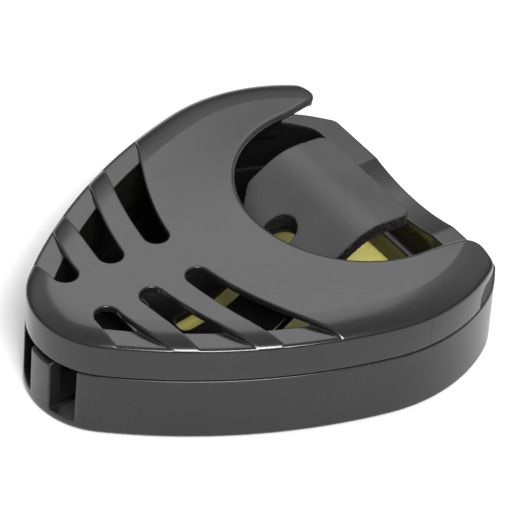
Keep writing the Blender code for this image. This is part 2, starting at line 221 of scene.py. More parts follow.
def half_plan(inset, steps=(60, 60, 90)):
    """Right half of the outline, from the tip round to the rear, moved inwards by inset."""
    cx, cy = SIDE_CENTRE
    tip_angle = math.degrees(math.atan2(TIP_RADIUS - cy, -cx))
    corner_angle = math.degrees(math.atan2(CORNER_CENTRE[1] - cy, CORNER_CENTRE[0] - cx))
    points = arc((0, TIP_RADIUS), TIP_RADIUS - inset, -90, tip_angle, steps[0])
    points += arc(SIDE_CENTRE, SIDE_RADIUS - inset, tip_angle, corner_angle, steps[1])[1:]
    points += arc(CORNER_CENTRE, CORNER_RADIUS - inset, corner_angle, 88, steps[2])[1:]
    return points


def tongue_line(steps=40):
    """Centre line of the tongue in side view, from its foot to its free end."""
    path = [TONGUE_PATH[0][:2]]
    for before, here, after in zip(TONGUE_PATH, TONGUE_PATH[1:], TONGUE_PATH[2:]):
        path += bend(before[:2], here[:2], after[:2], here[2], steps)
    return path + [TONGUE_PATH[-1][:2]]


def shifted(path, distance):
    """The line moved sideways, upwards for a positive distance."""
    points = []
    for i, (y, z) in enumerate(path):
        before = path[max(i - 1, 0)]
        after = path[min(i + 1, len(path) - 1)]
        dy = after[0] - before[0]
        dz = after[1] - before[1]
        size = math.hypot(dy, dz)
        points.append((y - distance * dz / size, z + distance * dy / size))
    return points


def slot_outline(slot, steps=60):
    """Grip slot: round at its inner end, its front wall flaring where it runs out."""
    inner, middle, outer, outer_half = slot
    front, rear = [], []
    for t in np.linspace(0, 1, steps + 1):
        weights = ((1 - t) * (1 - 2 * t), 4 * t * (1 - t), t * (2 * t - 1))
        slopes = (4 * t - 3, 4 - 8 * t, 4 * t - 1)
        x = sum(w * p[0] for w, p in zip(weights, (inner, middle, outer)))
        y = sum(w * p[1] for w, p in zip(weights, (inner, middle, outer)))
        dx = sum(w * p[0] for w, p in zip(slopes, (inner, middle, outer)))
        dy = sum(w * p[1] for w, p in zip(slopes, (inner, middle, outer)))
        size = math.hypot(dx, dy)
        half = SLOT_INNER_HALF_WIDTH + (outer_half - SLOT_INNER_HALF_WIDTH) * t ** 1.5
        flared = half + SLOT_FLARE * max(0.0, t - SLOT_FLARE_START) / (1 - SLOT_FLARE_START)
        front.append((x + flared * dy / size, y - flared * dx / size))
        rear.append((x - half * dy / size, y + half * dx / size))
    heading = math.degrees(math.atan2(front[0][1] - rear[0][1], front[0][0] - rear[0][0]))
    nose = arc(inner, SLOT_INNER_HALF_WIDTH, heading + 360, heading + 180, 40)
    points = front[::-1] + nose[1:-1] + rear
    reach = (6.0, 2.0)
    points += [(rear[-1][0] + reach[0], rear[-1][1] + reach[1]),
               (front[-1][0] + reach[0], front[-1][1] + reach[1])]
    return points


def notch_outline():
    """Closed outline of the thumb notch, which runs out between the rounded ends of the horns."""
    points = [(x, y, 0.0) for x, y in arc((0, NOTCH_CENTRE_Y), NOTCH_RADIUS, -90, 0, 130)]
    points += [(12.6, HORN_END_Y, 2.0), (17.3, HORN_END_Y, 2.2), (18.9, 38.6, 0.0),
               (30.0, 38.6, 0.0), (30.0, 60.0, 0.0)]
    return rounded(mirrored(points))


# ---------------------------------------------------------------- distance fields

def polygon_distance(points, u, v):
    """Signed distance to a closed polygon, negative inside."""
    u, v = np.broadcast_arrays(np.float32(u), np.float32(v))
    nearest = np.full(u.shape, 1e12, np.float32)
    inside = np.zeros(u.shape, bool)
    for (au, av), (bu, bv) in zip(points, points[1:] + points[:1]):
        eu, ev = bu - au, bv - av
        span = eu * eu + ev * ev
        if span < 1e-14:
            continue
        du, dv = u - au, v - av
        t = np.clip((du * eu + dv * ev) / span, 0, 1)
        np.minimum(nearest, (du - t * eu) ** 2 + (dv - t * ev) ** 2, out=nearest)
        if av != bv:
            crosses = (v >= av) != (v >= bv)
            inside ^= crosses & (u < au + eu * (v - av) / ev)
    return np.sqrt(nearest) * np.where(inside, -1, 1)


def plan_distance(x, y):
    """Signed distance to the plan outline: a chain of tangent arcs."""
    x = np.abs(x)
    cx, cy = SIDE_CENTRE
    tip = np.hypot(x, y - TIP_RADIUS) - TIP_RADIUS
    side = np.hypot(x - cx, y - cy) - SIDE_RADIUS
    corner = np.hypot(x - CORNER_CENTRE[0], y - CORNER_CENTRE[1]) - CORNER_RADIUS
    angle = np.arctan2(y - cy, x - cx)
    tip_angle = math.atan2(TIP_RADIUS - cy, -cx)
    corner_angle = math.atan2(CORNER_CENTRE[1] - cy, CORNER_CENTRE[0] - cx)
    return np.where(angle < tip_angle, tip, np.where(angle > corner_angle, corner, side))


def both(a, b, radius=0.0):
    """Where both fields are solid, with their shared edge rounded."""
    if isinstance(radius, float) and radius == 0:
        return np.maximum(a, b)
    k = radius * 1.17
    h = np.maximum(k - np.abs(a - b), 0)
    return np.maximum(a, b) + h * h / (4 * k)


def either(a, b, radius=0.0):
    return -both(-a, -b, radius)


def without(a, b, radius=0.0):
    return both(a, -b, radius)


class Space:
    """Samples of space on a regular grid, worked out for one half and mirrored."""

    def __init__(self, x_high, y_range, z_range, step):
        margin = 3 * step
        self.step = step
        self.x = np.arange(0, x_high + margin, step, dtype=np.float32)[:, None, None]
        y = np.arange(y_range[0] - margin, y_range[1] + margin, step, dtype=np.float32)
        z = np.arange(z_range[0] - margin, z_range[1] + margin, step, dtype=np.float32)
        self.y = y[None, :, None]
        self.z = z[None, None, :]
        self.low = np.array([-self.x.max(), self.y.min(), self.z.min()], float)

    def mirror(self, half):
        full = np.broadcast_to(half, (self.x.size, self.y.size, self.z.size))
        return np.concatenate((full[:0:-1], full), axis=0)

    def ragged(self, from_y, size, seed):
        """Random values on the samples behind from_y and zero in front of it."""
        made = np.zeros((self.x.size, self.y.size, self.z.size), np.float32)
        rows = np.flatnonzero(self.y.ravel() > from_y)
        x, y, z = np.broadcast_arrays(self.x, self.y[:, rows], self.z)
        points = np.stack((x.ravel(), y.ravel(), z.ravel()), axis=1)
        made[:, rows] = lattice_noise(points, size, seed).reshape(x.shape)
        return made

    def profile(self, points, inset):
        """Field of a closed section of (inset, height) points, carried round a plan."""
        across = np.linspace(float(inset.min()), float(inset.max()), 3000)
        table = polygon_distance(points, across[:, None], self.z.ravel()[None, :])
        made = np.empty((self.x.size, self.y.size, self.z.size), np.float32)
        flat = inset.reshape(self.x.size, self.y.size)
        for k in range(self.z.size):
            made[:, :, k] = np.interp(flat, across, table[:, k])
        return made


def lattice_noise(points, scale, seed):
    """Smooth random values from -1 to 1 at points, one random value per lattice point."""
    cell = points / scale
    base = np.floor(cell).astype(np.int64)
    blend = cell - base
    blend = blend * blend * (3 - 2 * blend)
    total = np.zeros(len(points))
    for corner in range(8):
        offset = np.array([corner >> 2 & 1, corner >> 1 & 1, corner & 1])
        at = base + offset
        mixed = at * NOISE_PRIMES
        mixed = mixed[:, 0] ^ mixed[:, 1] ^ mixed[:, 2] ^ (seed * 2654435)
        mixed = (mixed ^ (mixed >> 13)) * 1274126177 & 0x7FFFFFFF
        value = ((mixed ^ (mixed >> 16)) & 0xFFFF) / 32767.5 - 1
        weight = np.prod(np.where(offset, blend, 1 - blend), axis=1)
        total += value * weight
    return total


def sample(field, low, step, points):
    """Trilinear reading of a field."""
    cell = (points - low) / step
    base = np.clip(np.floor(cell).astype(int), 0, np.array(field.shape) - 2)
    f = cell - base
    value = np.zeros(len(points))
    for corner in range(8):
        o = (corner >> 2 & 1, corner >> 1 & 1, corner & 1)
        weight = np.prod([f[:, a] if o[a] else 1 - f[:, a] for a in range(3)], axis=0)
        value += weight * field[base[:, 0] + o[0], base[:, 1] + o[1], base[:, 2] + o[2]]
    return value


def slope(field, low, step, points):
    """Unit gradient of a field, and the gradient's size."""
    reach = step * 0.8
    parts = []
    for axis in range(3):
        offset = np.zeros(3)
        offset[axis] = reach
        ahead = sample(field, low, step, points + offset)
        parts.append(ahead - sample(field, low, step, points - offset))
    gradient = np.stack(parts, axis=1)
    size = np.linalg.norm(gradient, axis=1, keepdims=True)
    return gradient / np.maximum(size, 1e-9), size[:, 0] / (2 * reach)


def surface(field, low, step):
    """Quads on the zero level of a field: one vertex in each cell that the surface passes."""
    inside = field < 0
    n = np.array(field.shape) - 1
    count = np.zeros(n, np.uint8)
    corners = [(c >> 2 & 1, c >> 1 & 1, c & 1) for c in range(8)]
    for i, j, k in corners:
        count += inside[i:n[0] + i, j:n[1] + j, k:n[2] + k]
    active = (count > 0) & (count < 8)
    index = np.full(active.shape, -1, np.int32)
    cells = np.argwhere(active)
    index[active] = np.arange(len(cells), dtype=np.int32)
    values = [field[cells[:, 0] + i, cells[:, 1] + j, cells[:, 2] + k] for i, j, k in corners]
    total = np.zeros((len(cells), 3))
    crossings = np.zeros(len(cells))
    for a in range(8):
        for axis in range(3):
            b = a | (4 >> axis)
            if b == a:
                continue
            va, vb = values[a], values[b]
            cross = (va < 0) != (vb < 0)
            t = np.where(cross, va / np.where(cross, va - vb, 1), 0)
            place = np.array(corners[a], float)[None, :].repeat(len(cells), 0)
            place[:, axis] += t
            total += place * cross[:, None]
            crossings += cross
    points = (cells + total / crossings[:, None]) * step + low
    quads = []
    for axis in range(3):
        near = [slice(None)] * 3
        far = [slice(None)] * 3
        near[axis] = slice(0, -1)
        far[axis] = slice(1, None)
        a, b = inside[tuple(near)], inside[tuple(far)]
        edges = np.argwhere(a != b)
        others = [o for o in range(3) if o != axis]
        keep = np.all([(edges[:, o] > 0) & (edges[:, o] < n[o]) for o in others], axis=0)
        edges = edges[keep]
        ring = []
        for s, t in ((-1, -1), (0, -1), (0, 0), (-1, 0)):
            cell = edges.copy()
            cell[:, others[0]] += s
            cell[:, others[1]] += t
            ring.append(index[cell[:, 0], cell[:, 1], cell[:, 2]])
        ring = np.stack(ring, axis=1)
        outward = a[edges[:, 0], edges[:, 1], edges[:, 2]]
        if axis == 1:
            outward = ~outward
        quads.append(np.where(outward[:, None], ring, ring[:, ::-1]))
    return points, np.concatenate(quads)


def to_mesh(name, points, quads):
    mesh = bpy.data.meshes.new(name)
    mesh.vertices.add(len(points))
    mesh.vertices.foreach_set("co", np.float32(points).ravel())
    mesh.loops.add(quads.size)
    mesh.loops.foreach_set("vertex_index", np.int32(quads).ravel())
    mesh.polygons.add(len(quads))
    mesh.polygons.foreach_set("loop_start", np.arange(0, quads.size, 4, dtype=np.int32))
    mesh.update(calc_edges=True)
    return mesh


def moulding(name, space, field, triangles, rough=None, marked=None):
    """Mesh a field, thin it where it is flat, and give it the field's own normals.

    rough(points) gives how far each point stands out from the field, in mm; the piece
    then keeps its mesh's own normals, which show the roughness.
    marked(points) gives the point attribute "mark", which the piece's material reads."""
    low, step = space.low, space.step
    points, quads = surface(field, low, step)
    for _ in range(3):
        normal, size = slope(field, low, step, points)
        move = -sample(field, low, step, points) / np.maximum(size, 0.2)
        points += normal * np.clip(move, -0.4 * step, 0.4 * step)[:, None]
    stands = None
    if rough is not None:
        normal, _ = slope(field, low, step, points)
        stands = rough(points)
        points = points + normal * stands[:, None]
    mesh = to_mesh(name, points, quads)
    piece = bpy.data.objects.new(name, mesh)
    bpy.context.scene.collection.objects.link(piece)
    if 2 * len(quads) > triangles:
        thin = piece.modifiers.new("thin", "DECIMATE")
        thin.ratio = triangles / (2 * len(quads))
        bpy.context.view_layer.update()
        evaluated = piece.evaluated_get(bpy.context.evaluated_depsgraph_get())
        done = bpy.data.meshes.new_from_object(evaluated)
        piece.modifiers.clear()
        piece.data = done
        done.name = name
    mesh = piece.data
    place = np.empty(len(mesh.vertices) * 3, np.float32)
    mesh.vertices.foreach_get("co", place)
    place = place.reshape(-1, 3).astype(float)
    normal, _ = slope(field, low, step, place)
    # How far each edge stands out, for the wear on it.
    deep = sample(field, low, step, place - normal * WEAR_DEPTH)
    edge = np.clip((deep + WEAR_DEPTH) / WEAR_DEPTH * WEAR_GAIN, 0, 1)
    mesh.vertices.foreach_set("co", np.float32((place - (0, LENGTH / 2, 0)) * MM).ravel())
    mesh.update()
    mesh.shade_smooth()
    if stands is None:
        mesh.normals_split_custom_set_from_vertices([tuple(v) for v in normal])
    worn = mesh.attributes.new("edge", "FLOAT", "POINT")
    worn.data.foreach_set("value", np.float32(edge))
    if marked is not None:
        mark = mesh.attributes.new("mark", "FLOAT", "POINT")
        mark.data.foreach_set("value", np.float32(marked(place)))
    return piece


# ---------------------------------------------------------------- the pieces

def base_outline(space, inset, rear_inset, corner=0.3):
    """Field of the base's plan: cut square at the rear, with its two corners taken off."""
    corner_x = CORNER_CENTRE[0] + math.sqrt(
        CORNER_RADIUS ** 2 - (REAR_CORNER_Y - CORNER_CENTRE[1]) ** 2)
    run = corner_x - REAR_CORNER_X
    rise = LENGTH - REAR_CORNER_Y
    size = math.hypot(run, rise)
    normal = (rise / size, run / size)
    limit = normal[0] * corner_x + normal[1] * REAR_CORNER_Y
    field = plan_distance(space.x, space.y) + inset
    slant = normal[0] * space.x + normal[1] * space.y - limit + (inset + rear_inset) / 2
    field = both(field, slant, corner)
    return both(field, space.y - (LENGTH - rear_inset), corner)


def base_piece():
    space = Space(20.0, (0, LENGTH), (BASE_BOTTOM, BASE_TOP + PARTING_TAKE), STEP)
    x, y, z = space.x, space.y, space.z
    drop = DIP_DEPTH - DIP_RADIUS + np.sqrt(DIP_RADIUS ** 2 - x ** 2)
    drop = both(drop, 0 * drop, 0.06) * np.clip((y - 38) / 2, 0, 1)
    top = BASE_TOP + PARTING_TAKE - drop
    outer = both(base_outline(space, 0, 0), z - top, RIM_RADIUS)
    outer = both(outer, BASE_BOTTOM - z, 0.25)
    inner = both(base_outline(space, BASE_WALL, REAR_WALL, 0.5), FLOOR_TOP - z, 0.35)
    behind = y - (LENGTH - REAR_WALL - FOOT_DEPTH)
    foot = both(-behind, z - FOOT_FRONT_Z - FOOT_SLOPE * behind, 0.1)
    foot = both(both(foot, x - FOOT_HALF_WIDTH, 0.2), y - LENGTH + REAR_WALL - 0.5)
    inner = without(inner, foot, 0.15)
    field = without(outer, inner, 0.14)
    recess = both(base_outline(space, 1.2, 1.2), z - RECESS_TOP, 0.05)
    field = without(field, recess, 0.08)
    opening = rounded(mirrored([
        (FLOOR_OPENING_X, FLOOR_OPENING_Y, 0.4),
        (FLOOR_OPENING_X, LENGTH - REAR_WALL - FOOT_DEPTH, 0.4)]))
    opening = both(polygon_distance(opening, x, y), z - FLOOR_TOP - 1)
    field = without(field, opening, 0.10)
    draft = WINDOW_DRAFT * (z - WINDOW_SILL)
    window = both(WINDOW_INNER_X - draft - x, x - WINDOW_OUTER_X - draft, 0.10)
    window = both(both(window, WINDOW_SILL - z, 0.15), y - 5)
    field = without(field, window, 0.10)
    slope_top = z - (BASE_TOP - FINGER_DROP) - FINGER_RISE * (y + 1)
    slope_top = slope_top / math.hypot(1, FINGER_RISE)
    finger = both(both(x - FINGER_HALF_WIDTH, y - 3), -slope_top)
    field = without(field, finger, 0.08)
    peg = both(np.hypot(x - PEG_X, y - PEG_Y) - PEG_RADIUS, z - PEG_TOP, 0.25)
    peg = both(peg, FLOOR_TOP - 0.5 - z)
    field = either(field, peg, 0.25)

    def inside(points):
        """1 on the walls and floor of the cavity and in the tip windows, which the material makes
        duller and darkens with painted shade.
        """
        across = -plan_distance(points[:, 0], points[:, 1]) - BASE_WALL + 0.25
        behind = LENGTH - REAR_WALL + 0.3 - points[:, 1]
        below = BASE_TOP - DIP_DEPTH - 0.1 - points[:, 2]
        sides = np.where(np.abs(points[:, 0]) > 7.5, BASE_TOP - 0.2 - points[:, 2], below)
        foot = np.maximum(LENGTH - REAR_WALL - FOOT_DEPTH - 0.1 - points[:, 1],
                          points[:, 2] - FOOT_FRONT_Z - FOOT_SLOPE * FOOT_DEPTH - 0.1)
        cavity = np.minimum(np.minimum(across, behind), np.minimum(sides, foot))
        windows = np.minimum(WINDOW_OUTER_X + 0.1 - np.abs(points[:, 0]), 4 - points[:, 1])
        windows = np.minimum(windows, across + BASE_WALL - 0.7)
        windows = np.minimum(windows, np.abs(points[:, 0]) - WINDOW_INNER_X + 0.1)
        return np.clip(np.maximum(cavity, windows) / 0.2, 0, 1)

    return moulding("base_moulding", space, space.mirror(field), SHELL_TRIANGLES, marked=inside)


def crown_share(x, y):
    """0 at the middle of the crown and 1 where the shoulder starts, along rays in plan."""
    outline = half_plan(CROWN_INSET, (30, 30, 45))
    bearing = np.array([math.atan2(px, py - CROWN_CENTRE_Y) for px, py in outline])
    reach = np.array([math.hypot(px, py - CROWN_CENTRE_Y) for px, py in outline])
    order = np.argsort(bearing)
    angle = np.arctan2(x, y - CROWN_CENTRE_Y)
    return np.hypot(x, y - CROWN_CENTRE_Y) / np.interp(angle, bearing[order], reach[order])


def cover_piece():
    space = Space(20.0, (0, HORN_END_Y + 0.5), (LIP_BOTTOM, CROWN_Z), STEP)
    x, y, z = space.x, space.y, space.z
    inset = -plan_distance(x, y)
    shoulder = softened(list(SHOULDER))
    bottom = COVER_BOTTOM - PARTING_TAKE
    section = rounded([(0.0, bottom, 0.10), (LIP_OUTER_INSET, bottom, 0.1),
                       (LIP_OUTER_INSET, LIP_BOTTOM, 0.12), (COVER_WALL, LIP_BOTTOM, 0.12),
                       (COVER_WALL, CEILING_Z, 0.5), (40.0, CEILING_Z, 0.0),
                       (40.0, CROWN_START_Z, 0.0)] + [(s, h, 0.0) for s, h in shoulder[::-1]], 8)
    field = space.profile(section, inset)
    share = np.clip(crown_share(x, y), 0, 1)
    dome = (CROWN_Z - CROWN_START_Z) * (1 - share ** 2) ** 2
    near_top = np.clip((z - CEILING_Z - 0.3) / 0.4, 0, 1)
    field = field - dome * near_top
    ledge = np.minimum(LEDGE_Z - z, LEDGE_WIDTH - inset)
    for slot in SLOTS:
        outline = polygon_distance(slot_outline(slot), x, y)
        field = without(field, both(outline, ledge), SLOT_EDGE_RADIUS)
    notch = polygon_distance(notch_outline(), x, y)
    tip = np.clip((y - 38.5) / 2.5, 0, 1)
    tip = tip * tip * (3 - 2 * tip)
    field = without(field, notch, NOTCH_EDGE_RADIUS + HORN_TIP_EXTRA_RADIUS * tip)
    window = polygon_distance(HORN_WINDOW, y, z) + 0.12 * space.ragged(38.0, 0.35, 11)
    window = both(window, HORN_WINDOW_X - x)
    field = without(field, window, 0.12)

    def inside(points):
        """1 on the underside, which the material makes duller and darkens with painted shade."""
        across = -plan_distance(points[:, 0], points[:, 1]) - LIP_OUTER_INSET + 0.2
        top = np.where(across < LEDGE_WIDTH - LIP_OUTER_INSET + 0.3, LEDGE_Z - 0.1, CEILING_Z + 0.12)
        return np.clip(np.minimum(across, top - points[:, 2]) / 0.15, 0, 1)

    return moulding("cover_moulding", space, space.mirror(field), SHELL_TRIANGLES, marked=inside)


def tongue_piece():
    line = tongue_line()
    section = shifted(line, TONGUE_HALF_THICKNESS) + shifted(line, -TONGUE_HALF_THICKNESS)[::-1]
    space = Space(TONGUE_HALF_WIDTH + 0.2, (12.0, 39.2), (1.6, 11.6), STEP * STRIP_GRID)
    x, y, z = space.x, space.y, space.z
    plan = rounded(mirrored([
        (TONGUE_HALF_WIDTH - 0.05, 11.5, 0.0), (TONGUE_HALF_WIDTH - 0.05, 29.6, 0.8),
        (TONGUE_NECK_HALF_WIDTH, 31.2, 0.8), (TONGUE_NECK_HALF_WIDTH, 38.2, 1.6)]))
    plan = polygon_distance(plan, x, y)
    field = both(polygon_distance(section, y, z), plan, STRIP_EDGE_RADIUS)
    slit = rounded(mirrored([
        (SLIT_HALF_WIDTH, 16.4, SLIT_END_RADIUS), (SLIT_HALF_WIDTH, 24.3, SLIT_END_RADIUS)]))
    slit = polygon_distance(slit, x, y)
    hole = np.hypot(x, y - PAD_HOLE_Y) - PAD_HOLE_RADIUS - 0.5
    pegs = np.hypot(x - PEG_X, y - PEG_Y) - PEG_RADIUS - 0.4
    for gap in (slit, hole, pegs):
        field = without(field, gap, STRIP_EDGE_RADIUS)
    return moulding("tongue_strip", space, space.mirror(field), STRIP_TRIANGLES)


def pad_piece():
    line = tongue_line()
    top = PAD_UNDERSIDE + PAD_THICKNESS
    section = shifted(line, top) + shifted(line, PAD_UNDERSIDE)[::-1]
    space = Space(7.6, (24.0, 39.6), (4.5, 12.9), STEP * PAD_GRID)
    x, y, z = space.x, space.y, space.z
    plan = polygon_distance(rounded(mirrored([
        (2.5, 24.9, 1.6), (PAD_HALF_WIDTH, 29.4, 1.6), (PAD_HALF_WIDTH, PAD_REAR_Y, 1.3)])), x, y)
    hole = np.hypot(x, y - PAD_HOLE_Y) - PAD_HOLE_RADIUS
    cut = both(plan, -hole)
    field = both(polygon_distance(section, y, z), cut, 0.16)
    edge_field = space.mirror(cut)

    def grain(points):
        """Coarse torn grain on the cut edges, a fine one on the faces."""
        near_edge = np.clip(1 + sample(edge_field, space.low, space.step, points) / 0.35, 0, 1)
        coarse = lattice_noise(points, 0.28, 3) + 0.6 * lattice_noise(points, 0.14, 5)
        fine = lattice_noise(points, 0.20, 7)
        return -0.085 * near_edge * (1 + coarse) / 1.6 + 0.003 * fine * (1 - near_edge) - 0.004

    def torn(points):
        """1 on the cut edges."""
        return np.clip(1 + (sample(edge_field, space.low, space.step, points) + 0.10) / 0.12, 0, 1)

    return moulding("rubber_pad", space, space.mirror(field), PAD_TRIANGLES, grain, torn)


def tape_piece():
    """Foam tape with torn-cell edges, in the recess of the base."""
    space = Space(18.6, (1.2, LENGTH - 1.2), (ADHESIVE_BOTTOM, ADHESIVE_TOP), TAPE_STEP)
    x, y, z = space.x, space.y, space.z
    plan = base_outline(space, 1.5, 1.5)
    opening = rounded(mirrored([
        (FLOOR_OPENING_X + 0.4, FLOOR_OPENING_Y - 0.4, 1.5),
        (FLOOR_OPENING_X + 0.4, LENGTH - REAR_WALL - 0.2, 0.8)]))
    plan = both(plan, -polygon_distance(opening, x, y))
    slab = np.maximum(z - ADHESIVE_TOP, ADHESIVE_BOTTOM - z)
    field = both(plan, slab, 0.06)
    edge_field = space.mirror(plan)

    def cells(points):
        """Cut-open cells along the edges."""
        near_edge = np.clip(1 + sample(edge_field, space.low, space.step, points) / 0.3, 0, 1)
        return -0.06 * near_edge * (1 + lattice_noise(points, 0.16, 9))

    return moulding("foam_tape", space, space.mirror(field), TAPE_TRIANGLES, cells)


# ---------------------------------------------------------------- materials

class Shade:
    """Short hand for a procedural material on the Principled shader."""

    def __init__(self, name, roughness, specular=0.5):
        self.made = bpy.data.materials.new(name)
        self.made.use_nodes = True
        self.tree = self.made.node_tree
        self.shader = self.tree.nodes["Principled BSDF"]
        self.shader.inputs["Roughness"].default_value = roughness
        self.shader.inputs["IOR"].default_value = 1.5
        self.shader.inputs["Specular IOR Level"].default_value = specular
        self.place = self.add("ShaderNodeTexCoord").outputs["Object"]

    def add(self, kind, **settings):
        node = self.tree.nodes.new(kind)
        for key, value in settings.items():
            if hasattr(node, key):
                setattr(node, key, value)
            else:
                node.inputs[key].default_value = value
        return node

    def link(self, a, b):
        self.tree.links.new(a, b)

    def noise(self, size_mm, detail=3.0, rough=0.5, stretch=None):
        """Noise whose features are about size_mm across."""
        node = self.add("ShaderNodeTexNoise", Scale=1 / (size_mm * MM), Detail=detail,
                        Roughness=rough)
        at = self.place
        if stretch:
            mapping = self.add("ShaderNodeMapping")
            mapping.inputs["Scale"].default_value = stretch
            self.link(at, mapping.inputs["Vector"])
            at = mapping.outputs["Vector"]
        self.link(at, node.inputs["Vector"])
        return node.outputs["Fac"]

    def ramp(self, value, stops):
        """Grey ramp with (position, brightness) stops."""
        node = self.add("ShaderNodeValToRGB")
        band = node.color_ramp
        while len(band.elements) < len(stops):
            band.elements.new(0.5)
        for element, (position, grey) in zip(band.elements, stops):
            element.position = position
            element.color = (grey, grey, grey, 1)
        self.link(value, node.inputs["Fac"])
        return node.outputs["Color"]

    def spread(self, value, low, high, start=0.3, end=0.7):
        node = self.add("ShaderNodeMapRange")
        node.inputs["From Min"].default_value = start
        node.inputs["From Max"].default_value = end
        node.inputs["To Min"].default_value = low
        node.inputs["To Max"].default_value = high
        self.link(value, node.inputs["Value"])
        return node.outputs["Result"]

    def maths(self, operation, a, b):
        node = self.add("ShaderNodeMath", operation=operation)
        for socket, value in zip(node.inputs, (a, b)):
            if isinstance(value, (int, float)):
                socket.default_value = value
            else:
                self.link(value, socket)
        return node.outputs["Value"]

    def mix(self, factor, a, b):
        node = self.add("ShaderNodeMix", data_type="RGBA")
        self.link(factor, node.inputs[0])
        for socket, value in ((node.inputs[6], a), (node.inputs[7], b)):
            if hasattr(value, "is_linked"):
                self.link(value, socket)
            else:
                socket.default_value = (*value, 1)
        return node.outputs[2]

    def bump(self, height, strength, distance_mm, before=None):
        node = self.add("ShaderNodeBump", Strength=strength, Distance=distance_mm * MM)
        self.link(height, node.inputs["Height"])
        if before is not None:
            self.link(before, node.inputs["Normal"])
        return node.outputs["Normal"]

    def attribute(self, name):
        return self.add("ShaderNodeAttribute", attribute_name=name).outputs["Fac"]

    def to(self, socket, value):
        self.link(value, self.shader.inputs[socket])


def moulded_plastic(name, colour, roughness, dull_with_painted_shade=False):
    """Black injection-moulded plastic: faint flow clouds, handling marks, worn edges.

    Where its mark is 1, a piece so asked is darker, rougher and less shiny; the darker colour there
    is painted shade in the hollows and under the cover."""
    s = Shade(name, roughness)
    clouds = s.noise(7.0, 4.0)
    grain = s.noise(0.22, 2.0)
    rub = s.noise(1.6, 5.0, 0.7, (1.0, 0.35, 1.0))
    edge = s.attribute("edge")
    tone = s.mix(s.spread(clouds, 0, 1), tuple(c * 0.8 for c in colour),
                 tuple(c * 1.2 for c in colour))
    worn = s.maths("MULTIPLY", s.spread(edge, 0, 1, 0.25, 0.9), s.spread(rub, 0.1, 0.7, 0.4, 0.62))
    tone = s.mix(worn, tone, tuple(c * 1.9 + 0.006 for c in colour))
    gloss = s.spread(clouds, roughness - 0.02, roughness + 0.02)
    gloss = s.maths("ADD", gloss, s.spread(rub, 0, 0.04, 0.5, 0.75))
    gloss = s.maths("ADD", gloss, s.maths("MULTIPLY", worn, 0.10))
    if dull_with_painted_shade:
        mark = s.attribute("mark")
        # Painted shade: the colour halves where the mark is 1, on the base's cavity walls, floor and
        # tip windows and on the cover's underside.
        tone = s.mix(mark, tone, tuple(c * 0.5 for c in colour))
        gloss = s.maths("ADD", gloss, s.maths("MULTIPLY", mark, 0.35))
        s.to("Specular IOR Level", s.spread(mark, 0.5, 0.15, 0, 1))
    s.to("Base Color", tone)
    s.to("Roughness", gloss)
    normal = s.bump(grain, 0.05, 0.02)
    s.to("Normal", s.bump(clouds, 0.10, 0.04, normal))
    return s.made


def rubber(name):
    """Dark grey nitrile sheet: satin skin with dust in its pores, torn edges with painted glints."""
    s = Shade(name, 0.5, 0.45)
    clouds = s.noise(5.0, 4.0)
    grain = s.noise(0.16, 3.0, 0.6)
    crumbs = s.add("ShaderNodeTexVoronoi", Scale=1 / (0.16 * MM))
    s.link(s.place, crumbs.inputs["Vector"])
    torn = s.attribute("mark")
    skin = s.mix(s.spread(clouds, 0, 1), (0.036, 0.036, 0.037), (0.048, 0.048, 0.049))
    skin = s.mix(s.spread(grain, 0, 1, 0.62, 0.72), skin, (0.060, 0.060, 0.060))
    # Painted glints: bright specks put into the colour of the torn edges, over the dark torn rubber.
    glint = s.spread(s.noise(0.13, 2.0, 0.7), 0, 1, 0.66, 0.72)
    torn_with_painted_glints = s.mix(glint, (0.006, 0.006, 0.006), (0.16, 0.16, 0.16))
    s.to("Base Color", s.mix(torn, skin, torn_with_painted_glints))
    s.to("Roughness", s.maths("ADD", s.spread(grain, 0.40, 0.52), s.maths("MULTIPLY", torn, 0.10)))
    s.to("Specular IOR Level", s.spread(torn, 0.45, 0.25, 0, 1))
    fine = s.bump(grain, 0.25, 0.03)
    normal = s.bump(crumbs.outputs["Distance"], 0.15, 0.02, fine)
    s.to("Normal", s.bump(s.maths("MULTIPLY", crumbs.outputs["Distance"], torn), 0.7, 0.16, normal))
    return s.made


def foam(name):
    """Closed-cell black foam tape."""
    s = Shade(name, 0.85, 0.3)
    cells = s.add("ShaderNodeTexVoronoi", Scale=1 / (0.18 * MM))
    s.link(s.place, cells.inputs["Vector"])
    s.to("Base Color", s.ramp(cells.outputs["Distance"], ((0.0, 0.004), (0.5, 0.016), (0.9, 0.035))))
    s.to("Roughness", s.spread(s.noise(0.4), 0.75, 0.95))
    s.to("Normal", s.bump(cells.outputs["Distance"], 0.6, 0.08))
    return s.made


def waxed_paper(name):
    """Yellow release paper: silky coating, faint fibres and cockling."""
    s = Shade(name, 0.42, 0.5)
    fibres = s.noise(0.5, 6.0, 0.6, (1.0, 0.18, 1.0))
    cockle = s.noise(6.0, 2.0)
    tone = s.mix(s.spread(fibres, 0, 1), (0.60, 0.55, 0.13), (0.70, 0.65, 0.19))
    s.to("Base Color", tone)
    s.to("Roughness", s.spread(fibres, 0.34, 0.50))
    normal = s.bump(fibres, 0.2, 0.02)
    s.to("Normal", s.bump(cockle, 0.3, 0.25, normal))
    return s.made


def floor_paint(name):
    """Pale matt table top."""
    s = Shade(name, 0.9, 0.2)
    s.to("Base Color", s.mix(s.noise(30.0, 4.0), (0.90, 0.90, 0.90), (0.93, 0.93, 0.93)))
    return s.made


# ---------------------------------------------------------------- scene

def dress(piece, body, shade, node):
    piece.data.materials.clear()
    piece.data.materials.append(shade)
    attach(piece, body)
    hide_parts(node)


CAMERA_AZIMUTH = 51.647
CAMERA_ELEVATION = 40.496
CAMERA_ROLL = 4.158
CAMERA_DISTANCE = 0.44166
CAMERA_TARGET = Vector((-0.001556, 0.004175, 0.006))
CAMERA_LENS = 313.93


